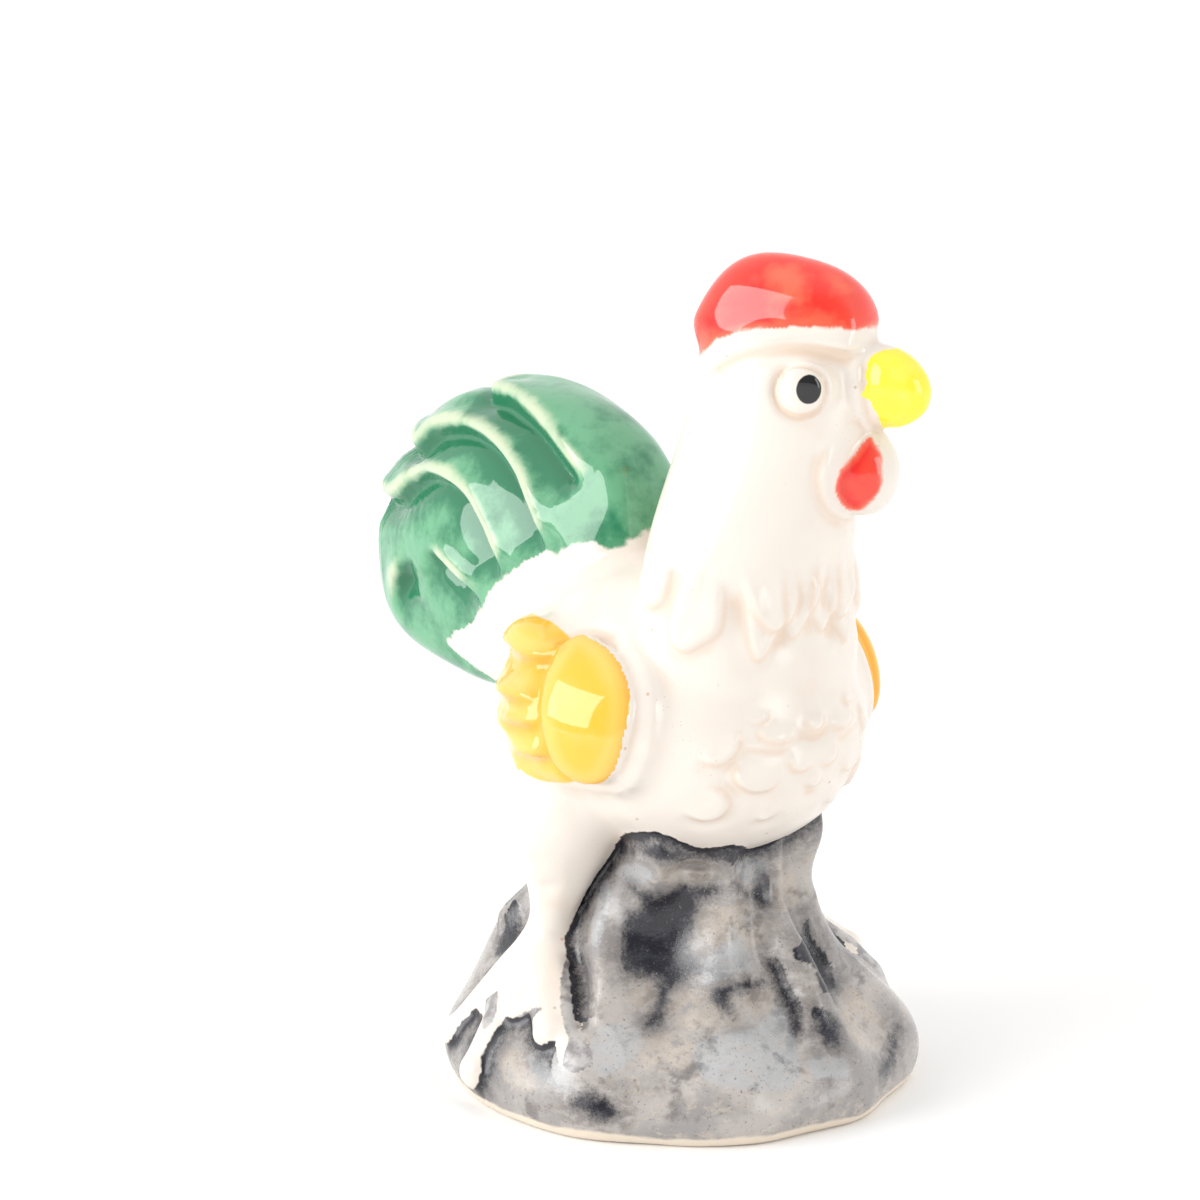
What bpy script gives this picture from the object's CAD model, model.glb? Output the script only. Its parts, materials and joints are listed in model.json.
"""A glazed clay rooster on a rock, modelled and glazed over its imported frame."""
import json
import math

import bmesh
import bpy
import numpy as np
from bpy.props import FloatProperty, FloatVectorProperty, IntProperty, PointerProperty
from mathutils import Matrix, Vector, noise
from mathutils.bvhtree import BVHTree
from mathutils.kdtree import KDTree

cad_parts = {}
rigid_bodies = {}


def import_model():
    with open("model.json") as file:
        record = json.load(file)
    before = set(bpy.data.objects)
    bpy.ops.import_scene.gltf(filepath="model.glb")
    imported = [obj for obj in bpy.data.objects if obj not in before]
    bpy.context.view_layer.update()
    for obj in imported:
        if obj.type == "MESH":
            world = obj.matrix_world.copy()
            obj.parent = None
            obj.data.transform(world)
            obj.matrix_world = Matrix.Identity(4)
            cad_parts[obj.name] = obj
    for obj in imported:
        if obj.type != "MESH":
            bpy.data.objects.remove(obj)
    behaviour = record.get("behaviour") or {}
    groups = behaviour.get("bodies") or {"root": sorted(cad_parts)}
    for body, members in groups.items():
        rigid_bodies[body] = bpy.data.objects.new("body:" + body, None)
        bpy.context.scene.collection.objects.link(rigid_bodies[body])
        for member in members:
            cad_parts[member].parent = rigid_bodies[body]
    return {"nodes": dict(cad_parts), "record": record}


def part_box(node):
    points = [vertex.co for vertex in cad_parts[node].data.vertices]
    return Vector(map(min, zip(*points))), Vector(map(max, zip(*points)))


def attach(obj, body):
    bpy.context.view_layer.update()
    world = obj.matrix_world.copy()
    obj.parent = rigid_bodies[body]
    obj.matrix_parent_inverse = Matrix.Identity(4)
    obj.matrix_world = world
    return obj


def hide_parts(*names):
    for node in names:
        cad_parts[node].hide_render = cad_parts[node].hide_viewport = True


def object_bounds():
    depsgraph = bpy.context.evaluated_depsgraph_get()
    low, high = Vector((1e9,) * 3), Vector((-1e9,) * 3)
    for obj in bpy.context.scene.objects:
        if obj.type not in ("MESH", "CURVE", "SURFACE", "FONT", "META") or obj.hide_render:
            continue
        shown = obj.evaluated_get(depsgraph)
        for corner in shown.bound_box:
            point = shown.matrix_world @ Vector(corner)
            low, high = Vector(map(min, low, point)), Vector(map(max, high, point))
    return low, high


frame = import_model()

bl_info = {
    "name": "Glazed Clay Rooster",
    "version": (1, 0, 0),
    "blender": (4, 5, 0),
    "location": "3D View > Sidebar > Rooster",
    "description": "Models and glazes a small clay rooster over its packed frame",
    "category": "Object",
}

CAD_BOX = [list(corner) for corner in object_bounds()]
SLOTS = {part["node"]: part["material_slot"] for part in frame["record"]["subparts"]}
NODES = list(SLOTS)
MM = 0.001

# The photo's camera: its direction, its distance, how far right and up its middle lies from the
# origin, its axes in the row frame, and where it stands.
VIEW_AZIMUTH = math.radians(-40)
VIEW_ELEVATION = math.radians(15)
VIEW_DISTANCE = 0.450
AIM_RIGHT = -0.00783
AIM_UP = 0.04493
SENSOR_WIDTH = 36
PHOTO_SIZE = 1200
PIXEL = MM / 10.35
RIGHT = Vector((math.cos(VIEW_AZIMUTH), math.sin(VIEW_AZIMUTH), 0))
BACK = Vector((
    math.sin(VIEW_AZIMUTH) * math.cos(VIEW_ELEVATION),
    -math.cos(VIEW_AZIMUTH) * math.cos(VIEW_ELEVATION),
    math.sin(VIEW_ELEVATION),
))
UP = BACK.cross(RIGHT)
EYE = RIGHT * AIM_RIGHT + UP * AIM_UP + BACK * VIEW_DISTANCE

# Lines that a modelling tool left in the clay, as pixels of the photo. The clay stands
# higher on the left of each line, seen in the direction in which it is drawn. Here and
# below, three numbers are a place in millimetres, where the photo shows none.
TAIL_LINES = (
    ((2, 27, 63), (0, 26.5, 63), (486, 391), (505, 400), (525, 416), (542, 436), (556, 455), (568, 470),
     (582, 490)),
    ((2, 38.6, 56), (0, 38.4, 56), (411, 449), (430, 433), (451, 429), (470, 434), (490, 450), (507, 473),
     (518, 497), (530, 525), (548, 556)),
    ((2, 42.6, 49), (0, 42.4, 49), (389, 501), (405, 486), (421, 478), (441, 484), (461, 500), (476, 525),
     (487, 550), (502, 582)),
    ((424, 549), (440, 566), (458, 585), (484, 606)),
    ((396, 612), (399, 580), (408, 552)),
)
WING_OVAL = (
    (590, 637), (570, 641), (556, 655), (547, 680), (543, 705), (545, 730), (552, 754), (564, 770),
    (584, 781), (606, 778), (620, 758), (628, 728), (630, 700), (623, 673), (608, 650),
)
WING_PAD = ((606, 640), (628, 655), (642, 685), (646, 720), (641, 752), (628, 778), (606, 794))
WING_LINES = (
    ((503, 630), (509, 643), (518, 652), (531, 658), (546, 657), (557, 649), (569, 637)),
    ((491, 686), (505, 694), (522, 699), (538, 702)),
    ((498, 716), (513, 721), (528, 724), (542, 726)),
    ((510, 746), (523, 752), (538, 756), (551, 760)),
)
HACKLE_LINES = (
    ((656, 540), (645, 572), (643, 594), (651, 606), (661, 600), (668, 578), (674, 552)),
    ((692, 556), (677, 598), (671, 624), (675, 643), (686, 650), (701, 643), (717, 631), (722, 606),
     (721, 576)),
    ((741, 570), (747, 606), (750, 638), (757, 658), (767, 650), (778, 630), (782, 600), (781, 566)),
    ((785, 574), (786, 606), (790, 633), (797, 634), (809, 614), (815, 588), (813, 556)),
    ((826, 580), (831, 610), (840, 613), (848, 592), (851, 562)),
)
BREAST_LINES = (
    ((697, 757), (709, 763), (722, 763), (733, 754), (738, 741), (734, 730)),
    ((756, 727), (764, 737), (777, 741), (790, 738), (799, 729)),
    ((804, 715), (808, 725), (816, 729), (825, 725), (831, 717)),
    ((840, 690), (846, 700), (853, 694)),
    ((836, 734), (844, 733), (855, 724), (862, 712)),
    ((791, 755), (795, 768), (804, 769), (817, 759)),
    ((745, 768), (737, 774), (740, 784), (753, 791), (770, 788), (780, 774)),
    ((806, 786), (814, 785), (827, 772)),
    ((682, 813), (703, 820), (720, 816), (727, 805), (721, 794), (704, 790)),
    ((755, 818), (765, 819), (782, 808)),
)
BROW_LINE = ((707, 382), (718, 366), (740, 354), (765, 347), (792, 343), (820, 345), (845, 349), (864, 350))
MASK_LINE = ((886, 441), (872, 430), (863, 412), (860, 390), (859, 370), (862, 354))
WATTLE_LINE = ((831, 446), (822, 465), (820, 482), (824, 500), (833, 513), (847, 518), (862, 514))
EYE_RING = ((827, 391), (821, 373), (803, 364), (783, 371), (774, 390), (780, 409), (799, 418), (819, 411))
PUPIL_AT = (809, 390)
KNEE_LINE = ((527, 884), (545, 888), (566, 880))
ROCK_RIDGES = (
    ((779, 906), (795, 956), (812, 992), (824, 1036)),
    ((612, 880), (602, 930), (606, 980), (596, 1030)),
    ((798, 860), (806, 905), (828, 960), (862, 1010)),
)
ROCK_FOLDS = (
    ((776, 858), (775, 890), (779, 912)),
    ((640, 862), (693, 868), (742, 862)),
    ((565, 950), (578, 962), (586, 986), (582, 1020), (575, 1052)),
)

# Where each coloured glaze ends, as pixels of the photo, with the colour on the left of the line.
TAIL_EDGE = (
    (481, 671), (447, 642), (468, 624), (480, 608), (494, 588), (512, 570), (540, 554), (562, 549),
    (585, 541), (607, 547), (632, 538), (648, 533), (0, 3, 52.9),
)
WING_EDGE = (
    (521, 774), (536, 782), (556, 785), (586, 784), (602, 781), (616, 764), (626, 728), (630, 700),
    (623, 673), (607, 653), (588, 641), (571, 633), (556, 621), (540, 615), (520, 616), (508, 622),
    (502, 631),
)
COMB_EDGE = ((694, 363), (705, 352), (719, 339), (750, 331), (780, 328), (810, 327), (840, 328), (877, 327))
BEAK_EDGE = (
    (889, 349), (871, 356), (866, 370), (866, 385), (861, 396), (870, 402), (873, 410), (879, 423),
    (893, 433),
)
WATTLE_EDGE = (
    (869, 438), (858, 449), (846, 463), (838, 472), (834, 486), (837, 499), (846, 508), (858, 511),
    (873, 500), (882, 481), (883, 462), (878, 447),
)

# Patches that a brush left on the rock, on the comb and on the toes, as outlines in pixels of the photo.
DARK_PATCHES = (
    ((629, 885), (657, 895), (684, 885), (718, 888), (705, 901), (693, 930), (688, 948), (702, 968),
     (684, 981), (669, 994), (657, 980), (628, 975), (622, 965), (624, 930), (635, 910), (640, 898)),
    ((657, 984), (669, 987), (666, 1009), (655, 1027), (646, 1024), (655, 1006)),
    ((713, 989), (734, 981), (764, 980), (761, 988), (734, 994), (731, 1016), (720, 1006)),
    ((764, 962), (778, 959), (790, 986), (802, 1009), (796, 1035), (784, 1012), (772, 986)),
    ((802, 918), (808, 939), (826, 968), (831, 991), (820, 997), (808, 974), (790, 951), (796, 936)),
    ((812, 1009), (840, 1024), (840, 1044), (823, 1047), (815, 1027)),
    ((569, 1102), (590, 1094), (613, 1103), (615, 1119), (581, 1117)),
    ((619, 851), (628, 841), (696, 844), (746, 844), (772, 835), (778, 845), (761, 856), (710, 861),
     (663, 863), (640, 853)),
    ((734, 883), (748, 890), (767, 872), (770, 900), (762, 904), (748, 898)),
    ((891, 1034), (899, 1030), (894, 1065), (880, 1076), (884, 1056)),
    ((470, 1035), (486, 1012), (483, 1046), (470, 1066), (462, 1060)),
    ((497, 950), (522, 905), (524, 920), (505, 960)),
)
PALE_PATCHES = (
    ((705, 962), (740, 933), (755, 968), (734, 977), (702, 986)),
    ((737, 866), (765, 860), (764, 880), (746, 884)),
    ((693, 1047), (750, 1030), (784, 1006), (795, 1085), (716, 1085)),
    ((593, 1033), (634, 1024), (640, 1053), (598, 1076)),
    ((809, 1059), (843, 1059), (849, 1076), (817, 1078)),
    ((528, 1053), (548, 1047), (575, 1079), (563, 1091), (537, 1079)),
    ((616, 869), (640, 863), (652, 880), (628, 882)),
    ((599, 886), (611, 886), (606, 945), (598, 945)),
    ((505, 960), (522, 935), (520, 962), (508, 984)),
)
WARM_PATCHES = (
    ((657, 866), (710, 866), (705, 886), (669, 886)),
    ((696, 910), (746, 901), (761, 927), (746, 951), (699, 939)),
    ((628, 980), (657, 986), (652, 1012), (640, 1009)),
    ((672, 992), (712, 992), (740, 1024), (669, 1024)),
    ((731, 996), (772, 989), (769, 1009), (736, 1016)),
    ((846, 989), (888, 1032), (870, 1053), (843, 1027)),
    ((777, 862), (790, 866), (793, 904), (776, 908)),
    ((500, 1060), (520, 1050), (532, 1090), (512, 1088)),
    ((640, 1040), (680, 1032), (700, 1060), (650, 1070)),
)
COMB_THIN = (
    ((768, 268), (792, 262), (808, 276), (803, 298), (786, 302), (772, 290)),
    ((826, 276), (842, 278), (856, 292), (846, 296), (830, 288)),
    ((776, 318), (800, 312), (826, 313), (846, 322), (840, 332), (780, 332)),
    ((700, 338), (716, 334), (716, 352), (700, 362)),
)
CLAW_PATCHES = (
    ((566, 1042), (575, 1028), (598, 1032), (612, 1058), (602, 1086), (576, 1086), (562, 1066)),
    ((493, 1060), (502, 1036), (520, 1014), (543, 1008), (530, 1032), (508, 1054)),
    ((486, 1000), (498, 992), (495, 1018), (482, 1030)),
    ((568, 955), (580, 962), (586, 990), (580, 1024), (572, 1046), (562, 1020), (560, 985)),
)
# The toe end that is pressed flat on the rock.
PRESSED_TOE = CLAW_PATCHES[:1]

# Points on each stretch of a stroke, and points over which its open ends fade out.
CURVE_STEPS = 14
FADE_STEPS = 12
# Vertices that are measured against a stroke at a time.
BATCH = 10000
# Rounds in which the borders between the pieces are evened out.
BORDER_ROUNDS = 12

# The core in the rock, in metres: the height of its middle, its own height, its lower radius as a
# share of the rock's width and its upper radius.
CORE_MIDDLE = 0.0112
CORE_HEIGHT = 0.0184
CORE_SHARE = 0.40
CORE_TOP = 0.0075
# How far a parted piece's rim is drawn inward, in metres.
RIM_DEPTH = 0.0006

# Sizes in millimetres from here. Joints are wiped smooth up to the far distance, fully up to the near.
JOINT_NEAR = 1.0
JOINT_FAR = 3.6
# Width of the waves that hands leave in the clay.
WAVE_SIZE = 7.0
# A glazed piece takes over the clay under it from so far outside its glaze's edge to so far inside.
RUN_OUT = 1.4
RUN_IN = 3.0
# How far each wing's glaze runs past the edge that the photo shows.
WING_RUN = {"right_wing": -0.4, "left_wing": 1.8}
# The pupil, a little taller than wide.
PUPIL_RADIUS = 1.15
PUPIL_SHAPE = (1, 1, 0.85)
# How far from their edges the glazes, the patches and the dark line are measured.
PAINT_REACH = 3.0
PATCH_REACH = 4.0
LINE_REACH = 2.0
# A hollow of this depth counts as full, against the clay averaged so many times.
HOLLOW_DEPTH = 0.12
HOLLOW_PASSES = 14
# The dark line where the body meets the rock: how far it goes on the rock and on the body, how far it
# stays from the pressed toe, and the distance that stands for no line at all.
LINE_ON_ROCK = 0.7
LINE_ON_BODY = 0.45
TOE_CLEAR = 1.2
NO_LINE = 9


class RoosterSizes(bpy.types.PropertyGroup):
    """Sizes of the modelled clay."""
    grain: FloatProperty(
        name="Grain", description="Edge of the cells that the clay is rebuilt from",
        default=0.00028, min=0.0001, unit="LENGTH")
    joint_passes: IntProperty(
        name="Joint Smoothing", description="How often the joints between the pieces are wiped smooth",
        default=60)
    tail_lip: FloatProperty(
        name="Tail Feather Edge", description="How far a tail feather's edge stands over the next",
        default=0.0017, unit="LENGTH")
    wing_lip: FloatProperty(
        name="Wing Feather Edge", description="How far a wing feather's edge stands out",
        default=0.0008, unit="LENGTH")
    hackle_lip: FloatProperty(
        name="Hackle Edge", description="How far the neck feathers' tips stand out",
        default=0.00065, unit="LENGTH")
    scale_lip: FloatProperty(
        name="Breast Scale Edge", description="How far the breast feathers stand out",
        default=0.00036, unit="LENGTH")
    unevenness: FloatProperty(
        name="Unevenness", description="Height of the waves that hands leave in the clay",
        default=0.00012, unit="LENGTH")


def glaze_colour(name, description, colour):
    return FloatVectorProperty(
        name=name, description=description, default=colour, size=3, min=0, max=1, subtype="COLOR")


class RoosterGlazes(bpy.types.PropertyGroup):
    """Colours of the clay and the glazes."""
    cream: glaze_colour("Cream", "Clay under the clear glaze", (0.82, 0.75, 0.675))
    stain: glaze_colour("Stain", "Clay in the hollows", (0.76, 0.58, 0.44))
    speck: glaze_colour("Speck", "Specks in the clay", (0.45, 0.25, 0.12))
    red: glaze_colour("Red", "Comb and wattle", (0.84, 0.017, 0.014))
    red_thin: glaze_colour("Thin Red", "Comb where the glaze is thin", (0.92, 0.18, 0.09))
    lemon: glaze_colour("Lemon", "Beak", (0.95, 0.83, 0.05))
    lemon_thin: glaze_colour("Thin Lemon", "Beak where the glaze is thin", (0.96, 0.88, 0.22))
    amber: glaze_colour("Amber", "Wing", (0.90, 0.50, 0.030))
    amber_thin: glaze_colour("Thin Amber", "Wing where the glaze is thin", (0.91, 0.63, 0.20))
    amber_thick: glaze_colour("Thick Amber", "Wing where the glaze pools", (0.88, 0.38, 0.010))
    green: glaze_colour("Green", "Tail", (0.14, 0.40, 0.22))
    green_thin: glaze_colour("Thin Green", "Tail where the glaze is thin", (0.66, 0.70, 0.50))
    green_thick: glaze_colour("Thick Green", "Tail where the glaze pools", (0.024, 0.20, 0.095))
    pupil: glaze_colour("Pupil", "Black of the eyes", (0.010, 0.010, 0.011))
    rock: glaze_colour("Rock", "Rock under a thin wash", (0.50, 0.46, 0.43))
    rock_dark: glaze_colour("Dark Rock", "Rock under a thicker wash", (0.33, 0.31, 0.30))
    sand: glaze_colour("Sand", "Bare clay that shows through the wash", (0.56, 0.49, 0.42))
    wash: glaze_colour("Wash", "Dark wash on the rock", (0.009, 0.009, 0.016))
    wash_thin: glaze_colour("Thin Wash", "Dark wash where the brush ran dry", (0.06, 0.06, 0.08))
    dab: glaze_colour("Dab", "Pale brush dabs on the rock", (0.47, 0.48, 0.49))
    grit_dark: glaze_colour("Dark Grit", "Dark grains in the rock", (0.06, 0.06, 0.07))
    grit_pale: glaze_colour("Pale Grit", "Pale grains in the rock", (0.60, 0.58, 0.54))
    foot: glaze_colour("Foot", "Bare clay that the rock stands on", (0.80, 0.70, 0.58))
    toe: glaze_colour("Toe", "Wash that ran over the toes", (0.42, 0.41, 0.41))
    toe_dark: glaze_colour("Dark Toe", "Toes where the wash is thick", (0.12, 0.12, 0.14))


class RoosterStudio(bpy.types.PropertyGroup):
    """Light on the figure."""
    side_light: FloatProperty(name="Side Light", description="Brightness of the left panel", default=4.6)
    fill_light: FloatProperty(name="Fill Light", description="Brightness of the right panel", default=3.6)
    surround: FloatProperty(name="Surround", description="Brightness of the white surround", default=1.14)


def read(items, name, width, kind=np.float32):
    """One value of every item, in rows of the given width."""
    values = np.empty(len(items) * width, kind)
    items.foreach_get(name, values)
    return values.reshape(-1, width)


def eased(low, high, values):
    """0 at low, 1 at high, smooth between."""
    share = np.clip((values - low) / (high - low), 0, 1)
    return share * share * (3 - 2 * share)


def photo_place(tree, pixel):
    """Where a pixel of the photo falls on the clay, or comes nearest to it."""
    if len(pixel) == 3:
        return tree.find_nearest(Vector(pixel) * MM)[0]
    across = (pixel[0] - PHOTO_SIZE / 2) * PIXEL
    down = (pixel[1] - PHOTO_SIZE / 2) * PIXEL
    aim = RIGHT * across - UP * down - BACK * VIEW_DISTANCE
    hit = tree.ray_cast(EYE, aim.normalized())[0]
    if hit:
        return hit
    # The line of sight misses the clay, so the place is the nearest to it around the figure.
    tries = [tree.find_nearest(EYE + aim * (0.90 + 0.01 * step)) for step in range(20)]
    return min(tries, key=lambda found: found[3])[0]


def mirror_in(origin, normal):
    """The move that mirrors points in a plane."""
    flip = Matrix.Scale(-1, 4, normal)
    return Matrix.Translation(origin) @ flip @ Matrix.Translation(-origin)


def curve_through(points, closed):
    """Points along a smooth curve through a few given ones."""
    points = np.array(points)
    if closed:
        ring = np.vstack([points[-1:], points, points[:2]])
    else:
        ring = np.vstack([2 * points[0] - points[1], points, 2 * points[-1] - points[-2]])
    share = np.linspace(0, 1, CURVE_STEPS, endpoint=False)[:, None]
    runs = []
    for a, b, c, d in zip(ring, ring[1:], ring[2:], ring[3:]):
        runs.append(0.5 * (2 * b + (c - a) * share + (2 * a - 5 * b + 4 * c - d) * share ** 2
                           + (3 * b - a - 3 * c + d) * share ** 3))
    return np.concatenate(runs)


class Stroke:
    """A line drawn on the clay through pixels of the photo, or its twin on the far side, in millimetres."""

    def __init__(self, tree, pixels, twin, closed):
        seeds = [photo_place(tree, pixel) for pixel in pixels]
        if twin:
            seeds = [twin @ seed for seed in seeds]
        found = [tree.find_nearest(Vector(point)) for point in curve_through(seeds, closed)]
        self.at = np.array([hit[0] for hit in found]) / MM
        self.normal = np.array([hit[1] for hit in found])
        if closed:
            tangent = np.roll(self.at, -1, 0) - np.roll(self.at, 1, 0)
        else:
            tangent = np.gradient(self.at, axis=0)
        side = np.cross(self.normal, tangent)
        side /= np.maximum(np.linalg.norm(side, axis=1, keepdims=True), 1e-9)
        self.side = -side if twin and twin.determinant() < 0 else side
        steps = np.arange(len(self.at))
        ends = np.minimum(steps, steps[::-1])
        self.fade = np.ones(len(steps)) if closed else np.clip(ends / FADE_STEPS, 0, 1)


def both_sides(tree, pixels, twin, closed=False):
    """A stroke on the near side and its twin on the far side."""
    return [Stroke(tree, pixels, None, closed), Stroke(tree, pixels, twin, closed)]


def strokes_of(tree, lines, twin):
    """The open strokes of several lines, on both sides."""
    return [stroke for pixels in lines for stroke in both_sides(tree, pixels, twin)]


def nearest_of(points, path):
    """The nearest place on a path for each point, and its squared distance."""
    nearest = np.empty(len(points), int)
    gap = np.empty(len(points))
    for start in range(0, len(points), BATCH):
        part = points[start:start + BATCH]
        gaps = (part ** 2).sum(1)[:, None] + (path ** 2).sum(1)[None] - 2 * part @ path.T
        nearest[start:start + BATCH] = gaps.argmin(1)
        gap[start:start + BATCH] = gaps.min(1)
    return nearest, gap


class Skin:
    """The figure's whole outer surface while it is modelled, in millimetres."""

    def __init__(self, thing):
        self.thing = thing
        self.mesh = thing.data
        self.at = read(self.mesh.vertices, "co", 3).astype(float) / MM
        self.edges = read(self.mesh.edges, "vertices", 2, np.int32)
        self.degree = np.bincount(self.edges.ravel(), minlength=len(self.at))
        self.relief = np.zeros(len(self.at))

    def mean(self, values):
        """Each vertex's average over its neighbours."""
        first, second = self.edges.T
        columns = []
        for column in values.T:
            total = np.bincount(first, column[second], len(column))
            total += np.bincount(second, column[first], len(column))
            columns.append(total / self.degree)
        return np.stack(columns, 1)

    def soften(self, passes, where=1.0):
        """Wipes the clay smooth, as strongly as each vertex is given from 0 to 1."""
        share = 0.5 * np.reshape(where, (-1, 1))
        for _ in range(passes):
            self.at += share * (self.mean(self.at) - self.at)

    def settle(self):
        """Writes the places back to the mesh and returns the normals."""
        self.mesh.vertices.foreach_set("co", (self.at * MM).astype(np.float32).ravel())
        self.mesh.update()
        return read(self.mesh.vertex_normals, "vector", 3).astype(float)

    def tree(self):
        """The skin as it stands, for finding places on it."""
        self.settle()
        bpy.context.view_layer.update()
        return BVHTree.FromObject(self.thing, bpy.context.evaluated_depsgraph_get())

    def beside(self, stroke, reach):
        """Vertices near a stroke, how far each lies to its left, and the stroke's strength there."""
        low = stroke.at.min(0) - reach
        high = stroke.at.max(0) + reach
        index = np.flatnonzero(((self.at > low) & (self.at < high)).all(1))
        nearest = nearest_of(self.at[index], stroke.at)[0]
        offset = self.at[index] - stroke.at[nearest]
        across = (offset * stroke.side[nearest]).sum(1)
        out = (offset * stroke.normal[nearest]).sum(1)
        slip = (offset ** 2).sum(1) - across ** 2 - out ** 2
        strength = stroke.fade[nearest] * np.exp(-slip / 0.4) * (np.abs(out) < reach)
        return index, across, strength

    def lip(self, strokes, height, spread, groove, soft=0.4):
        """Raises the clay on the left of each stroke to a lip, with a groove on its right."""
        for stroke in strokes:
            index, across, strength = self.beside(stroke, min(3 * spread + 1, 8))
            raised = height * eased(-soft, soft, across) * np.exp(-np.maximum(across, 0) / spread)
            cut = groove * np.exp(-((across + 0.6 + soft) / (0.5 + soft)) ** 2)
            self.relief[index] += (raised - cut) * strength

    def lap(self, strokes, height, groove):
        """Sinks the clay on the right of each stroke under a fat rolled edge on its left."""
        crest = np.zeros(len(self.at))
        sunk = np.zeros(len(self.at))
        for stroke in strokes:
            index, across, strength = self.beside(stroke, 9)
            roll = height * np.exp(-((across - 1.4) / 1.1) ** 2) * strength
            drop = groove * eased(0.9, -0.5, across) * np.exp(np.minimum(across + 0.5, 0) / 2.2) * strength
            crest[index] = np.maximum(crest[index], roll)
            sunk[index] = np.maximum(sunk[index], drop)
        self.relief += crest - sunk

    def ridge(self, strokes, height, width):
        """Raises the clay along each stroke, or sinks it where the height is below 0."""
        for stroke in strokes:
            index, across, strength = self.beside(stroke, 3 * width)
            self.relief[index] += height * np.exp(-(across / width) ** 2) * strength

    def along(self, strokes, offset, width):
        """How strongly a band beside the strokes covers each vertex, from 0 to 1."""
        cover = np.zeros(len(self.at))
        for stroke in strokes:
            index, across, strength = self.beside(stroke, abs(offset) + 3 * width)
            cover[index] = np.maximum(cover[index], np.exp(-((across - offset) / width) ** 2) * strength)
        return cover

    def painted_patch(self, tree, outlines, twin):
        """How far each vertex lies inside painted patches, and their twins, in millimetres."""
        depth = np.full(len(self.at), -PATCH_REACH)
        for pixels in outlines:
            turn = sum(a[0] * b[1] - b[0] * a[1] for a, b in zip(pixels, pixels[1:] + pixels[:1]))
            ring = pixels[::-1] if turn > 0 else pixels
            for stroke in both_sides(tree, ring, twin, True):
                low = stroke.at.min(0) - PATCH_REACH
                high = stroke.at.max(0) + PATCH_REACH
                index = np.flatnonzero(((self.at > low) & (self.at < high)).all(1))
                depth[index] = np.maximum(depth[index], self.inside([stroke], index))
        return np.maximum(depth, -PATCH_REACH)

    def inside(self, strokes, index):
        """How far the vertices lie on the coloured side of the strokes."""
        path = np.concatenate([stroke.at for stroke in strokes])
        side = np.concatenate([stroke.side for stroke in strokes])
        nearest, gap = nearest_of(self.at[index], path)
        reach = np.sqrt(np.maximum(gap, 0))
        across = ((self.at[index] - path[nearest]) * side[nearest]).sum(1)
        return np.where(across > 0, reach, -reach)

    def keep(self, name, values):
        """Writes one number per vertex, for the glazes to read."""
        layer = self.mesh.attributes.new(name, "FLOAT", "POINT")
        layer.data.foreach_set("value", values.astype(np.float32))


def gathered_clay():
    """Every CAD piece in one mesh, merged piece by piece, with the face count after each piece."""
    clay = bmesh.new()
    ends = []
    for node in NODES:
        piece = bmesh.new()
        piece.from_mesh(frame["nodes"][node].data)
        bmesh.ops.remove_doubles(piece, verts=piece.verts, dist=1e-6)
        mesh = bpy.data.meshes.new(node)
        piece.to_mesh(mesh)
        piece.free()
        clay.from_mesh(mesh)
        bpy.data.meshes.remove(mesh)
        ends.append(len(clay.faces))
    return clay, np.array(ends)


def fill_out(clay, ends):
    """Adds the lumps that the pieces lack: a plain fan under the tail feathers and a core in the rock."""
    clay.faces.ensure_lookup_table()
    tail = NODES.index("tail")
    fan = {vert for face in clay.faces[ends[tail - 1]:ends[tail]] for vert in face.verts}
    bmesh.ops.convex_hull(clay, input=list(fan))
    low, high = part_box("rock_base")
    bmesh.ops.create_cone(
        clay, cap_ends=True, segments=64, radius1=CORE_SHARE * (high.x - low.x), radius2=CORE_TOP,
        depth=CORE_HEIGHT, matrix=Matrix.Translation((0, 0, CORE_MIDDLE)))


def rebuilt(clay, grain):
    """The clay's outer skin as one even mesh."""
    mesh = bpy.data.meshes.new("clay")
    clay.to_mesh(mesh)
    clay.free()
    lump = bpy.data.objects.new("clay", mesh)
    bpy.context.scene.collection.objects.link(lump)
    remesh = lump.modifiers.new("Even clay", "REMESH")
    remesh.mode = "VOXEL"
    remesh.voxel_size = grain
    bpy.ops.object.select_all(action="DESELECT")
    bpy.context.view_layer.objects.active = lump
    lump.select_set(True)
    bpy.ops.object.modifier_apply(modifier=remesh.name)
    before = set(bpy.data.objects)
    bpy.ops.object.mode_set(mode="EDIT")
    bpy.ops.mesh.separate(type="LOOSE")
    bpy.ops.object.mode_set(mode="OBJECT")
    lumps = [lump] + [thing for thing in bpy.data.objects if thing not in before]
    lumps.sort(key=lambda thing: len(thing.data.vertices))
    for bubble in lumps[:-1]:
        bpy.data.objects.remove(bubble)
    return lumps[-1]


def owners_of(skin, tree, ends):
    """The CAD piece that each vertex belongs to, with ragged borders evened out."""
    owner = np.empty(len(skin.at), int)
    for index, point in enumerate(skin.at * MM):
        owner[index] = tree.find_nearest(Vector(point))[2]
    owner = np.searchsorted(ends, owner, side="right")
    owner = np.minimum(owner, len(NODES) - 1)
    for _ in range(BORDER_ROUNDS):
        votes = np.eye(len(NODES))[owner]
        votes += 2 * skin.mean(votes)
        owner = votes.argmax(1)
    return owner


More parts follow.
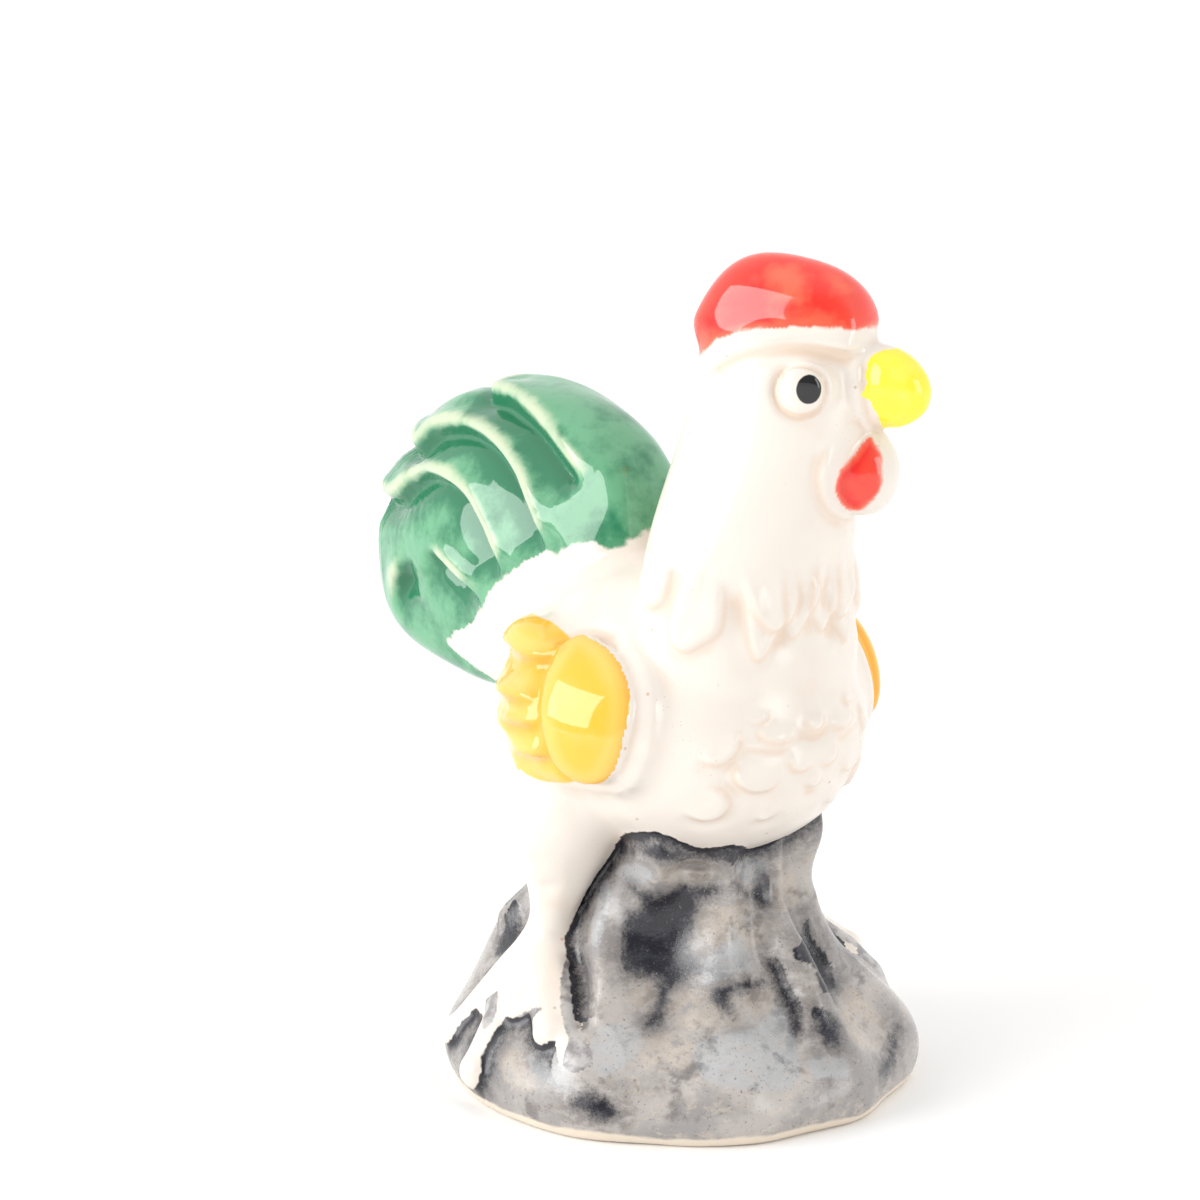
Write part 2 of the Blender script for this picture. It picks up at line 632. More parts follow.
def seam_gap(skin, owner, pairs):
    """How far each vertex lies from the borders between the given pairs of pieces, in millimetres."""
    wanted = np.zeros((len(NODES), len(NODES)), bool)
    for one, other in pairs:
        wanted[NODES.index(one), NODES.index(other)] = True
        wanted[NODES.index(other), NODES.index(one)] = True
    first, second = skin.edges.T
    on_border = np.unique(skin.edges[wanted[owner[first], owner[second]]])
    tree = KDTree(len(on_border))
    for index in on_border:
        tree.insert(skin.at[index], index)
    tree.balance()
    return np.array([tree.find(point)[2] for point in skin.at])


def wavy(points, size):
    """Slow waves of about the given size over the points."""
    return np.array([noise.noise(Vector(point) / size) for point in points])


def head_twin():
    """The move that mirrors one half of the turned head into the other."""
    right = sum(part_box("right_eye"), Vector()) / 2
    left = sum(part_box("left_eye"), Vector()) / 2
    return mirror_in((right + left) / 2, (left - right).normalized())


BODY_TWIN = mirror_in(Vector(), Vector((1, 0, 0)))
ROCK_TWIN = Matrix.Rotation(math.pi, 4, "Z")
# Joints that are wiped smooth.
SOFT_JOINTS = [
    ("trunk", "head_and_neck"), ("trunk", "tail"), ("trunk", "right_leg"), ("trunk", "left_leg"),
    ("trunk", "right_wing"), ("trunk", "left_wing"), ("right_leg", "right_foot"), ("left_leg", "left_foot"),
    ("right_leg", "right_wing"), ("left_leg", "left_wing"), ("head_and_neck", "right_wing"),
    ("head_and_neck", "left_wing"), ("head_and_neck", "comb"),
]
# Pieces with a dark line where they meet the rock.
ON_ROCK = ("trunk", "right_leg", "left_leg", "right_foot", "left_foot")
# The piece that each of these runs out over, as far as its glaze goes.
COVERED = {"tail": "trunk", "comb": "head_and_neck", "wattle": "head_and_neck"}


class ROOSTER_OT_clay(bpy.types.Operator):
    """Models the clay figure in one skin and parts it into its pieces"""
    bl_idname = "rooster.clay"
    bl_label = "Model the Clay"

    def execute(self, context):
        sizes = context.scene.rooster_sizes
        clay, ends = gathered_clay()
        cad_tree = BVHTree.FromBMesh(clay)
        fill_out(clay, ends)
        skin = Skin(rebuilt(clay, sizes.grain * (1)))
        owner = owners_of(skin, cad_tree, ends)
        self.wipe(skin, owner, sizes)
        tree = skin.tree()
        self.mark(skin, tree, owner, sizes)
        self.paint(skin, tree, owner)
        self.part(skin, owner)
        return {"FINISHED"}

    def wipe(self, skin, owner, sizes):
        """Smooths the joints and leaves the waves of hands in the clay."""
        skin.soften(passes=10)
        skin.soften(sizes.joint_passes, eased(JOINT_FAR, JOINT_NEAR, seam_gap(skin, owner, SOFT_JOINTS)))
        skin.at += skin.settle() * (wavy(skin.at, WAVE_SIZE) * sizes.unevenness / MM)[:, None]

    def mark(self, skin, tree, owner, sizes):
        """Presses the feathers, the face and the rock's ridges into the clay."""
        face = head_twin()
        wing_lip = sizes.wing_lip / MM
        for pixels in TAIL_LINES:
            skin.lap(both_sides(tree, pixels, BODY_TWIN), height=0.4, groove=sizes.tail_lip / MM)
        ovals = both_sides(tree, WING_OVAL, BODY_TWIN, True)
        skin.lip(ovals, wing_lip, spread=40, groove=0.4)
        skin.ridge(both_sides(tree, WING_PAD, BODY_TWIN), height=0.9, width=1.7)
        skin.lip(strokes_of(tree, WING_LINES, BODY_TWIN), wing_lip, spread=1.5, groove=0.35)
        hackles = strokes_of(tree, HACKLE_LINES, BODY_TWIN)
        skin.lip(hackles, sizes.hackle_lip / MM, spread=2.2, groove=0.2, soft=0.6)
        scales = strokes_of(tree, BREAST_LINES, BODY_TWIN)
        skin.lip(scales, sizes.scale_lip / MM, spread=1.3, groove=0.2, soft=0.25)
        face_lines = ((BROW_LINE, 0.7, 0.30), (MASK_LINE, 0.4, 0.25), (WATTLE_LINE, 0.5, 0.25))
        for line, height, groove in face_lines:
            skin.lip(both_sides(tree, line, face), height, spread=1.2, groove=groove, soft=0.3)
        skin.ridge(both_sides(tree, EYE_RING, face, True), height=-0.45, width=0.35)
        skin.ridge(both_sides(tree, KNEE_LINE, BODY_TWIN), height=-0.25, width=0.7)
        skin.ridge(strokes_of(tree, ROCK_RIDGES, ROCK_TWIN), height=1.1, width=1.8)
        skin.ridge(strokes_of(tree, ROCK_FOLDS, ROCK_TWIN), height=-0.7, width=0.9)
        skin.at += skin.settle() * skin.relief[:, None]
        wings = np.flatnonzero(np.isin(owner, [NODES.index("right_wing"), NODES.index("left_wing")]))
        dome = np.zeros(len(skin.at))
        dome[wings] = eased(0.4, 1.4, skin.inside(ovals, wings))
        skin.soften(passes=30, where=dome)
        pressed = eased(-0.9, 0.4, skin.painted_patch(tree, PRESSED_TOE, BODY_TWIN))
        skin.soften(passes=100, where=pressed)
        skin.soften(passes=2)

    def paint(self, skin, tree, owner):
        """Keeps at each vertex what the glazes need to know."""
        self.keep_hollows(skin)
        self.keep_colours(skin, tree, owner)
        self.keep_feathers(skin, tree)
        self.keep_patches(skin, tree, owner)

    def keep_hollows(self, skin):
        """How deep each vertex lies in a hollow, or below 0 on a ridge."""
        normals = skin.settle()
        blurred = skin.at
        for _ in range(HOLLOW_PASSES):
            blurred = skin.mean(blurred)
        skin.keep("cavity", ((blurred - skin.at) * normals).sum(1) / HOLLOW_DEPTH)

    def keep_colours(self, skin, tree, owner):
        """How far inside its coloured glaze each vertex lies, and which pieces the glazes run out over."""
        face = head_twin()
        colour = np.full(len(skin.at), -PAINT_REACH)
        edges = (
            (("tail",), both_sides(tree, TAIL_EDGE, BODY_TWIN)),
            (("right_wing", "left_wing"), both_sides(tree, WING_EDGE, BODY_TWIN)),
            (("comb",), both_sides(tree, COMB_EDGE, face)),
            (("beak",), both_sides(tree, BEAK_EDGE, face)),
            (("wattle",), both_sides(tree, WATTLE_EDGE, face, True)),
        )
        for nodes, strokes in edges:
            if nodes[0] in COVERED:
                under = np.flatnonzero(owner == NODES.index(COVERED[nodes[0]]))
                depth = skin.inside(strokes, under)
                owner[under[(depth > -RUN_OUT) & (depth < RUN_IN)]] = NODES.index(nodes[0])
            index = np.flatnonzero(np.isin(owner, [NODES.index(node) for node in nodes]))
            colour[index] = skin.inside(strokes, index)
        for wing, run in WING_RUN.items():
            colour[owner == NODES.index(wing)] += run
        centre = photo_place(tree, PUPIL_AT)
        for side, middle in (("right_eye", centre), ("left_eye", face @ centre)):
            index = np.flatnonzero(owner == NODES.index(side))
            offset = (skin.at[index] - np.array(middle) / MM) * PUPIL_SHAPE
            colour[index] = PUPIL_RADIUS - np.linalg.norm(offset, axis=1)
        skin.keep("paint", np.clip(colour, -PAINT_REACH, PAINT_REACH))

    def keep_feathers(self, skin, tree):
        """Where glaze pools under the feathers' edges, thins on their rims and stains the creases."""
        face = head_twin()
        bands = strokes_of(tree, TAIL_LINES, BODY_TWIN)
        feathers = bands + strokes_of(tree, WING_LINES, BODY_TWIN)
        feathers += both_sides(tree, WING_OVAL, BODY_TWIN, True)
        narrow = skin.along(feathers, offset=-0.3, width=0.8)
        skin.keep("pool", np.maximum(narrow, 0.75 * skin.along(bands, offset=-1.1, width=1.7)))
        skin.keep("rim", skin.along(feathers, offset=1.3, width=0.9))
        creases = strokes_of(tree, HACKLE_LINES + BREAST_LINES, BODY_TWIN)
        creases += strokes_of(tree, (BROW_LINE, MASK_LINE, WATTLE_LINE), face)
        ring = skin.along(both_sides(tree, EYE_RING, face, True), offset=0, width=0.3)
        skin.keep("crease", np.maximum(skin.along(creases, offset=-0.3, width=0.3), ring))

    def keep_patches(self, skin, tree, owner):
        """Where the brush left patches, and the dark line along the rock's border."""
        seam = seam_gap(skin, owner, [("rock_base", node) for node in ON_ROCK])
        seam[skin.painted_patch(tree, PRESSED_TOE, BODY_TWIN) > -TOE_CLEAR] = NO_LINE
        dark = skin.painted_patch(tree, DARK_PATCHES, ROCK_TWIN)
        skin.keep("dark", np.maximum(dark, LINE_ON_ROCK - seam))
        skin.keep("seam", np.maximum(LINE_ON_BODY - seam, -LINE_REACH))
        skin.keep("claw", skin.painted_patch(tree, CLAW_PATCHES, BODY_TWIN))
        skin.keep("pale", skin.painted_patch(tree, PALE_PATCHES, ROCK_TWIN))
        skin.keep("warm", skin.painted_patch(tree, WARM_PATCHES, ROCK_TWIN))
        skin.keep("thin", skin.painted_patch(tree, COMB_THIN, head_twin()))

    def part(self, skin, owner):
        """Parts the skin into one object for each piece."""
        normals = skin.settle()
        layer = skin.mesh.attributes.new("round", "FLOAT_VECTOR", "POINT")
        layer.data.foreach_set("vector", normals.astype(np.float32).ravel())
        corners = read(skin.mesh.loops, "vertex_index", 1, np.int32).ravel()
        starts = read(skin.mesh.polygons, "loop_start", 1, np.int32).ravel()
        skin.mesh.polygons.foreach_set("material_index", owner[corners[starts]].astype(np.int32))
        for node in NODES:
            skin.mesh.materials.append(bpy.data.materials.new(node))
        bpy.ops.object.select_all(action="DESELECT")
        skin.thing.select_set(True)
        bpy.context.view_layer.objects.active = skin.thing
        bpy.ops.object.mode_set(mode="EDIT")
        bpy.ops.mesh.separate(type="MATERIAL")
        bpy.ops.object.mode_set(mode="OBJECT")
        for thing in list(bpy.context.selected_objects):
            marker = thing.data.materials[0]
            close_up(thing)
            thing.name = "glazed_" + marker.name
            thing.data.name = thing.name
            thing.data.materials.clear()
            bpy.data.materials.remove(marker)


def turn_like_neighbours(faces, edges):
    """Turns new faces to run on from the faces that they meet at the given edges."""
    for face in faces:
        loop = next(loop for loop in face.loops if loop.edge in edges)
        if loop.link_loop_radial_next.vert == loop.vert:
            face.normal_flip()


def close_up(thing):
    """Closes the openings that parting left, and keeps the whole skin's shading across the borders."""
    work = bmesh.new()
    work.from_mesh(thing.data)
    cap_from = len(thing.data.polygons)
    outward = work.verts.layers.float_vector["round"]
    rims = [edge for edge in work.edges if edge.is_boundary]
    if rims:
        grown = bmesh.ops.extrude_edge_only(work, edges=rims)["geom"]
        for vert in grown:
            if isinstance(vert, bmesh.types.BMVert):
                vert.co -= RIM_DEPTH * vert[outward]
        walls = [face for face in grown if isinstance(face, bmesh.types.BMFace)]
        turn_like_neighbours(walls, set(rims))
        rims = [edge for edge in work.edges if edge.is_boundary]
        caps = bmesh.ops.holes_fill(work, edges=rims, sides=0)["faces"]
        turn_like_neighbours(caps, set(rims))
        bmesh.ops.triangulate(work, faces=caps)
    work.to_mesh(thing.data)
    work.free()
    mesh = thing.data
    mesh.polygons.foreach_set("use_smooth", np.ones(len(mesh.polygons), bool))
    rounded = read(mesh.attributes["round"].data, "vector", 3)
    corners = read(mesh.loops, "vertex_index", 1, np.int32).ravel()
    shading = rounded[corners]
    totals = read(mesh.polygons, "loop_total", 1, np.int32).ravel()
    flat = np.repeat(read(mesh.polygons, "normal", 3), totals, axis=0)
    on_cap = np.repeat(np.arange(len(totals)) >= cap_from, totals)
    shading[on_cap] = flat[on_cap]
    mesh.normals_split_custom_set(shading)
    mesh.attributes.remove(mesh.attributes["round"])


def finish_piece(node, glaze):
    """Glazes one piece and puts it in its CAD piece's place."""
    piece = bpy.data.objects["glazed_" + node]
    piece.data.materials.append(glaze)
    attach(piece, "root")
    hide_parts(node)


class Wire:
    """A shader socket that can be used in Python sums."""

    def __init__(self, glaze, socket):
        self.glaze = glaze
        self.socket = socket

    def sum(self, operation, first, second):
        return self.glaze.node("ShaderNodeMath", {"operation": operation}, {0: first, 1: second})

    def __add__(self, other):
        return self.sum("ADD", self, other)

    def __sub__(self, other):
        return self.sum("SUBTRACT", self, other)

    def __rsub__(self, other):
        return self.sum("SUBTRACT", other, self)

    def __mul__(self, other):
        return self.sum("MULTIPLY", self, other)

    def __or__(self, other):
        return self.sum("MAXIMUM", self, other)

    __radd__ = __add__
    __rmul__ = __mul__


class Glaze:
    """One glaze as a material, with the shader nodes that its recipe adds."""

    def __init__(self, name):
        self.material = bpy.data.materials.new(name)
        self.material.use_nodes = True
        self.tree = self.material.node_tree
        self.tree.nodes.clear()
        self.place = self.node("ShaderNodeTexCoord", output="Object")
        self.cavity = self.kept("cavity")

    def node(self, kind, settings=None, sockets=None, output=0):
        """Adds a node with its settings and the values or links of its sockets, and gives one output."""
        made = self.tree.nodes.new(kind)
        for name, value in (settings or {}).items():
            setattr(made, name, value)
        for key, value in (sockets or {}).items():
            if isinstance(value, Wire):
                self.tree.links.new(value.socket, made.inputs[key])
            else:
                made.inputs[key].default_value = value
        return Wire(self, made.outputs[output]) if made.outputs else None

    def kept(self, name):
        """A number that the skin keeps at each vertex."""
        return self.node("ShaderNodeAttribute", {"attribute_name": name}, output="Fac")

    def stretched(self, stretch):
        return self.node("ShaderNodeMapping", sockets={"Vector": self.place, "Scale": stretch})

    def cloud(self, size, detail, roughness=0.55, place=None):
        """Noise from 0 to 1 in lumps of about the given size in millimetres."""
        return self.node("ShaderNodeTexNoise", sockets={
            "Vector": place or self.place, "Scale": 1 / (size * MM),
            "Detail": detail, "Roughness": roughness})

    def step(self, value, low, high):
        """0 below low, 1 above high, smooth between."""
        return self.node("ShaderNodeMapRange", {"interpolation_type": "SMOOTHSTEP"}, {
            "Value": value, "From Min": low, "From Max": high})

    def mix(self, share, first, second):
        """A blend of two colours, each plain or from other nodes."""
        first, second = (value if isinstance(value, Wire) else (*value, 1) for value in (first, second))
        return self.node("ShaderNodeMix", {"data_type": "RGBA"}, {0: share, 6: first, 7: second}, output=2)

    def specks(self, size, rarity):
        """Small round specks, one in some cells of the given size."""
        cells = {"Vector": self.place, "Scale": 1 / (size * MM)}
        near = self.node("ShaderNodeTexVoronoi", sockets=cells)
        tint = self.node("ShaderNodeTexVoronoi", sockets=cells, output="Color")
        pick = self.node("ShaderNodeSeparateColor", sockets={"Color": tint})
        return self.step(near, 0.17, 0.10) * self.step(pick, rarity, rarity + 0.02)

    def cream(self, colours):
        """Cream clay under clear glaze, stained in its hollows and specked."""
        stained = self.step(self.cavity, 0.1, 1.4) * 0.7 | self.kept("crease") * 0.6
        clouds = self.step(self.cloud(5.0, 4), 0.50, 0.78) * 0.22
        tone = self.mix(stained | clouds, colours.cream, colours.stain)
        patches = self.step(self.cloud(7.0, 2), 0.52, 0.64)
        dots = self.specks(0.45, 0.55) * patches * 0.4 | self.specks(1.2, 0.93) * 0.5
        return self.mix(dots, tone, colours.speck)

    def finish(self, colour, roughness, bump=None, height=0.0):
        """The material, with the gloss of a fired glaze."""
        links = {"Base Color": colour, "Roughness": roughness}
        if bump:
            dents = {"Height": bump, "Distance": height, "Strength": 0.6}
            links["Normal"] = self.node("ShaderNodeBump", sockets=dents)
        links["IOR"] = 1.6
        shader = self.node("ShaderNodeBsdfPrincipled", sockets=links)
        self.node("ShaderNodeOutputMaterial", sockets={"Surface": shader})
        return self.material


def edge_of(glaze, unevenness):
    """How far inside its outline the colour lies, in millimetres, uneven as a brushed edge is."""
    return glaze.kept("paint") + (glaze.cloud(2.2, 3) - 0.5) * (2 * unevenness)


def body_glaze(colours):
    glaze = Glaze("clear glaze on cream clay")
    streaks = glaze.cloud(0.5, 3) - 0.5
    claws = glaze.step(glaze.kept("claw") + streaks * 0.6, -0.1, 0.2) * 0.8
    claw = glaze.mix(glaze.step(glaze.cloud(1.4, 4), 0.40, 0.62), colours.toe, colours.toe_dark)
    colour = glaze.mix(claws, glaze.cream(colours), claw)
    seam = glaze.step(glaze.kept("seam") + streaks * 0.3, -0.08, 0.12)
    return glaze.finish(glaze.mix(seam, colour, colours.wash), 0.26)


def red_glaze(colours):
    glaze = Glaze("red glaze")
    depth = edge_of(glaze, 0.5)
    worn = glaze.step(0.0 - glaze.cavity, 0.15, 1.0) * 0.35
    mottle = glaze.step(glaze.cloud(4.0, 2), 0.52, 0.75) * 0.3
    patches = glaze.kept("thin") + (glaze.cloud(1.6, 4) - 0.5) * 3
    thin = worn | mottle | glaze.step(depth, 1.0, 0.0) * 0.8 | glaze.step(patches, -1.4, 1.4) * 0.7
    red = glaze.mix(thin, colours.red, colours.red_thin)
    return glaze.finish(glaze.mix(glaze.step(depth, -0.25, 0.35), glaze.cream(colours), red), 0.07)


def beak_glaze(colours):
    glaze = Glaze("lemon glaze")
    depth = edge_of(glaze, 0.35)
    thin = glaze.step(glaze.cloud(2.5, 2), 0.45, 0.75) * 0.35
    lemon = glaze.mix(thin, colours.lemon, colours.lemon_thin)
    return glaze.finish(glaze.mix(glaze.step(depth, -0.1, 0.15), glaze.cream(colours), lemon), 0.10)


def eye_glaze(colours):
    glaze = Glaze("clear glaze with a black spot")
    spot = glaze.step(edge_of(glaze, 0.10), -0.06, 0.06)
    return glaze.finish(glaze.mix(spot, glaze.cream(colours), colours.pupil), 0.07)


def wing_glaze(colours):
    glaze = Glaze("amber glaze")
    depth = edge_of(glaze, 0.25)
    mottle = glaze.step(glaze.cloud(3.0, 3), 0.42, 0.70) * 0.2
    thin = glaze.kept("rim") * 0.45 | glaze.step(0.0 - glaze.cavity, 0.1, 1.2) * 0.5 | mottle
    amber = glaze.mix(thin, colours.amber, colours.amber_thin)
    amber = glaze.mix(glaze.kept("pool") * 0.85, amber, colours.amber_thick)
    return glaze.finish(glaze.mix(glaze.step(depth, -0.15, 0.15), glaze.cream(colours), amber), 0.06)


def tail_glaze(colours):
    glaze = Glaze("green glaze")
    depth = edge_of(glaze, 1.1)
    broken = glaze.cloud(3.2, 4, 0.6) - 0.5
    run = glaze.step(depth, 7.0, 1.0) * 0.35
    thick = glaze.step(glaze.kept("pool") * 0.9 + glaze.cavity * 0.2 + run + broken * 1.8, 0.05, 0.75)
    green = glaze.mix(thick, colours.green, colours.green_thick)
    worn = glaze.step(glaze.kept("rim") - glaze.cavity * 0.2 - run + (0.0 - broken) * 1.6, 0.10, 1.25)
    green = glaze.mix(worn * 0.8, green, colours.green_thin)
    return glaze.finish(glaze.mix(glaze.step(depth, -0.25, 0.30), glaze.cream(colours), green), 0.05)


def rock_glaze(colours):
    glaze = Glaze("grey wash on the rock")
    brush = glaze.cloud(1.5, 5, 0.65, glaze.stretched((0.9, 0.9, 1.6)))
    lumps = glaze.cloud(6.0, 4, 0.6)
    grain = glaze.cloud(0.34, 3, 0.75)
    ragged = (glaze.cloud(1.8, 6, 0.75) - 0.5) * 3.2 + (grain - 0.5) * 1.6
    base = glaze.mix(glaze.step(lumps, 0.38, 0.64), colours.rock, colours.rock_dark)
    base = glaze.mix(glaze.step(brush, 0.50, 0.66) * 0.6, base, colours.sand)
    warm = glaze.step(glaze.kept("warm") + ragged * 0.6, -0.5, 0.5) * glaze.step(brush, 0.34, 0.56)
    base = glaze.mix(warm * 0.85, base, colours.sand)
    pale = glaze.step(glaze.kept("pale") + ragged * 0.5, -0.15, 0.35)
    base = glaze.mix(pale * (0.35 + 0.5 * glaze.step(brush, 0.35, 0.60)), base, colours.dab)
    smear = glaze.step(glaze.cloud(4.5, 4, 0.65) + (brush - 0.5) * 0.5, 0.53, 0.74) * 0.6
    pooled = glaze.step(glaze.cavity, 0.3, 1.6) * 0.6
    core = glaze.step(glaze.kept("dark") + ragged * 1.1, -1.4, 1.0)
    veil = glaze.step(glaze.kept("dark") + ragged, -3.4, 0.4) * (0.15 + 0.5 * glaze.step(brush, 0.40, 0.62))
    wash = glaze.mix(glaze.step(brush, 0.45, 0.70) * 0.4, colours.wash, colours.wash_thin)
    washed = glaze.mix(core | veil | smear | pooled, base, wash)
    washed = glaze.mix(glaze.step(grain, 0.42, 0.30) * 0.6, washed, colours.grit_dark)
    washed = glaze.mix(glaze.step(grain, 0.62, 0.76) * 0.45, washed, colours.grit_pale)
    height = glaze.node("ShaderNodeSeparateXYZ", sockets={"Vector": glaze.place}, output="Z")
    foot = glaze.step(height + (lumps - 0.5) * (1.2 * MM), 1.3 * MM, 0.9 * MM)
    colour = glaze.mix(foot, washed, colours.foot)
    roughness = 0.16 + foot * 0.5 + glaze.step(brush, 0.4, 0.7) * 0.16
    return glaze.finish(colour, roughness, bump=grain, height=0.06 * MM)


class ROOSTER_OT_rock(bpy.types.Operator):
    """Washes the rock with grey"""
    bl_idname = "rooster.rock"
    bl_label = "Glaze the Rock"

    def execute(self, context):
        finish_piece("rock_base", rock_glaze(context.scene.rooster_glazes))
        return {"FINISHED"}


class ROOSTER_OT_body(bpy.types.Operator):
    """Glazes the trunk, neck, legs and feet"""
    bl_idname = "rooster.body"
    bl_label = "Glaze the Body"

    def execute(self, context):
        glaze = body_glaze(context.scene.rooster_glazes)
        for node in ("trunk", "head_and_neck", "right_leg", "left_leg", "right_foot", "left_foot"):
            finish_piece(node, glaze)
        return {"FINISHED"}


class ROOSTER_OT_comb(bpy.types.Operator):
    """Glazes the comb and the wattle"""
    bl_idname = "rooster.comb"
    bl_label = "Glaze the Comb and Wattle"

    def execute(self, context):
        glaze = red_glaze(context.scene.rooster_glazes)
        for node in ("comb", "wattle"):
            finish_piece(node, glaze)
        return {"FINISHED"}


class ROOSTER_OT_beak(bpy.types.Operator):
    """Glazes the beak"""
    bl_idname = "rooster.beak"
    bl_label = "Glaze the Beak"

    def execute(self, context):
        finish_piece("beak", beak_glaze(context.scene.rooster_glazes))
        return {"FINISHED"}


class ROOSTER_OT_eyes(bpy.types.Operator):
    """Glazes the eyes"""
    bl_idname = "rooster.eyes"
    bl_label = "Glaze the Eyes"

    def execute(self, context):
        glaze = eye_glaze(context.scene.rooster_glazes)
        for node in ("right_eye", "left_eye"):
            finish_piece(node, glaze)
        return {"FINISHED"}


class ROOSTER_OT_wings(bpy.types.Operator):
    """Glazes the wings"""
    bl_idname = "rooster.wings"
    bl_label = "Glaze the Wings"

    def execute(self, context):
        glaze = wing_glaze(context.scene.rooster_glazes)
        for node in ("right_wing", "left_wing"):
            finish_piece(node, glaze)
        return {"FINISHED"}


class ROOSTER_OT_tail(bpy.types.Operator):
    """Glazes the tail"""
    bl_idname = "rooster.tail"
    bl_label = "Glaze the Tail"

    def execute(self, context):
        finish_piece("tail", tail_glaze(context.scene.rooster_glazes))
        return {"FINISHED"}


# The height that the light panels face, and half the floor's width, in metres.
LIGHT_AIM = 0.04
FLOOR_REACH = 3.0


def light_panel(name, bearing, climb, distance, size, brightness):
    """A soft panel of light that faces the figure; its bearing is from the camera's, in degrees."""
    turn = VIEW_AZIMUTH + math.radians(bearing)
    climb = math.radians(climb)
    way = Vector((math.sin(turn) * math.cos(climb), -math.cos(turn) * math.cos(climb), math.sin(climb)))
    light = bpy.data.lights.new(name, "AREA")
    light.shape = "RECTANGLE"
    light.size, light.size_y = size
    light.energy = brightness * math.pi * size[0] * size[1]
    panel = bpy.data.objects.new(name, light)
    panel.location = Vector((0, 0, LIGHT_AIM)) + way * distance
    panel.rotation_mode = "QUATERNION"
    panel.rotation_quaternion = way.to_track_quat("Z", "Y")
    bpy.context.scene.collection.objects.link(panel)


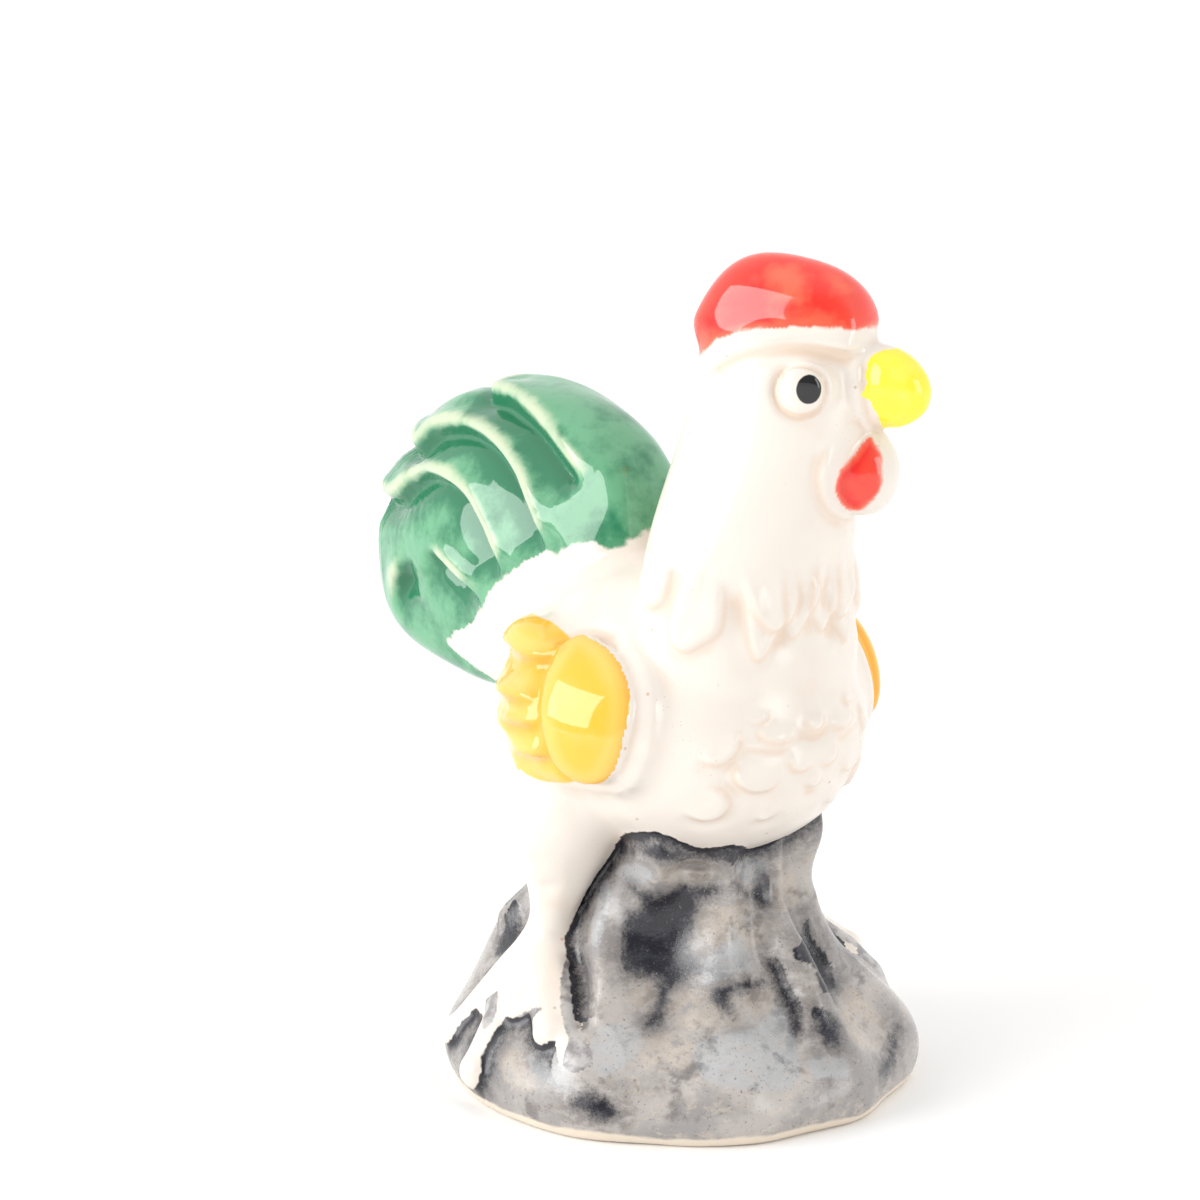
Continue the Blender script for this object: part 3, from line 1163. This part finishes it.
class ROOSTER_OT_stage(bpy.types.Operator):
    """Adds the floor, the light and the camera"""
    bl_idname = "rooster.stage"
    bl_label = "Set the Stage"

    def execute(self, context):
        scene = context.scene
        studio = scene.rooster_studio
        scene.view_settings.view_transform = "Standard"
        self.floor(scene)
        light_panel("Side panel", bearing=-66, climb=20, distance=0.7, size=(0.54, 0.42),
                    brightness=studio.side_light)
        light_panel("Fill panel", bearing=50, climb=12, distance=0.7, size=(0.22, 0.36),
                    brightness=studio.fill_light)
        self.surround(scene, studio.surround)
        self.camera(scene)
        return {"FINISHED"}

    def surround(self, scene, brightness):
        """White all round, with the dark room behind the camera."""
        world = bpy.data.worlds.new("White surround")
        world.use_nodes = True
        nodes = world.node_tree.nodes
        links = world.node_tree.links
        way = nodes.new("ShaderNodeTexCoord")
        facing = nodes.new("ShaderNodeVectorMath")
        facing.operation = "DOT_PRODUCT"
        facing.inputs[1].default_value = BACK
        links.new(way.outputs["Generated"], facing.inputs[0])
        dim = nodes.new("ShaderNodeMapRange")
        dim.interpolation_type = "SMOOTHSTEP"
        room = {"From Min": 0.45, "From Max": 0.92, "To Min": brightness, "To Max": 0.3 * brightness}
        for name, value in room.items():
            dim.inputs[name].default_value = value
        links.new(facing.outputs["Value"], dim.inputs["Value"])
        nodes["Background"].inputs["Color"].default_value = (1, 1, 1, 1)
        links.new(dim.outputs["Result"], nodes["Background"].inputs["Strength"])
        scene.world = world

    def floor(self, scene):
        sheet = bmesh.new()
        bmesh.ops.create_grid(sheet, x_segments=1, y_segments=1, size=FLOOR_REACH)
        mesh = bpy.data.meshes.new("floor")
        sheet.to_mesh(mesh)
        sheet.free()
        floor = bpy.data.objects.new("floor", mesh)
        floor.location.z = CAD_BOX[0][2]
        scene.collection.objects.link(floor)
        paper = bpy.data.materials.new("white paper")
        paper.use_nodes = True
        shader = paper.node_tree.nodes["Principled BSDF"]
        shader.inputs["Base Color"].default_value = (0.98, 0.98, 0.98, 1)
        shader.inputs["Roughness"].default_value = 0.9
        mesh.materials.append(paper)

    def camera(self, scene):
        lens = bpy.data.cameras.new("Camera")
        lens.sensor_width = SENSOR_WIDTH
        lens.lens = SENSOR_WIDTH * VIEW_DISTANCE / (PHOTO_SIZE * PIXEL)
        lens.clip_start = 0.01
        camera = bpy.data.objects.new("Camera", lens)
        camera.location = EYE
        camera.rotation_mode = "QUATERNION"
        camera.rotation_quaternion = (-BACK).to_track_quat("-Z", "Y")
        scene.collection.objects.link(camera)
        scene.camera = camera


class ROOSTER_PT_panel(bpy.types.Panel):
    """Sizes, colours and steps of the clay rooster"""
    bl_idname = "ROOSTER_PT_panel"
    bl_label = "Clay Rooster"
    bl_space_type = "VIEW_3D"
    bl_region_type = "UI"
    bl_category = "Rooster"

    def draw(self, context):
        scene = context.scene
        for group in (scene.rooster_sizes, scene.rooster_glazes, scene.rooster_studio):
            for name in group.__annotations__:
                self.layout.prop(group, name)
        for step in STEPS:
            self.layout.operator(step.bl_idname)


STEPS = (
    ROOSTER_OT_clay, ROOSTER_OT_rock, ROOSTER_OT_body, ROOSTER_OT_comb, ROOSTER_OT_beak, ROOSTER_OT_eyes,
    ROOSTER_OT_wings, ROOSTER_OT_tail, ROOSTER_OT_stage,
)
GROUPS = (RoosterSizes, RoosterGlazes, RoosterStudio)


def register():
    for part in (*GROUPS, *STEPS, ROOSTER_PT_panel):
        bpy.utils.register_class(part)
    bpy.types.Scene.rooster_sizes = PointerProperty(type=RoosterSizes)
    bpy.types.Scene.rooster_glazes = PointerProperty(type=RoosterGlazes)
    bpy.types.Scene.rooster_studio = PointerProperty(type=RoosterStudio)


def unregister():
    del bpy.types.Scene.rooster_sizes
    del bpy.types.Scene.rooster_glazes
    del bpy.types.Scene.rooster_studio
    for part in reversed((*GROUPS, *STEPS, ROOSTER_PT_panel)):
        bpy.utils.unregister_class(part)


def main():
    register()
    bpy.ops.rooster.clay()
    bpy.ops.rooster.rock()
    bpy.ops.rooster.body()
    bpy.ops.rooster.comb()
    bpy.ops.rooster.beak()
    bpy.ops.rooster.eyes()
    bpy.ops.rooster.wings()
    bpy.ops.rooster.tail()
    bpy.ops.rooster.stage()


if __name__ == "__main__":
    main()
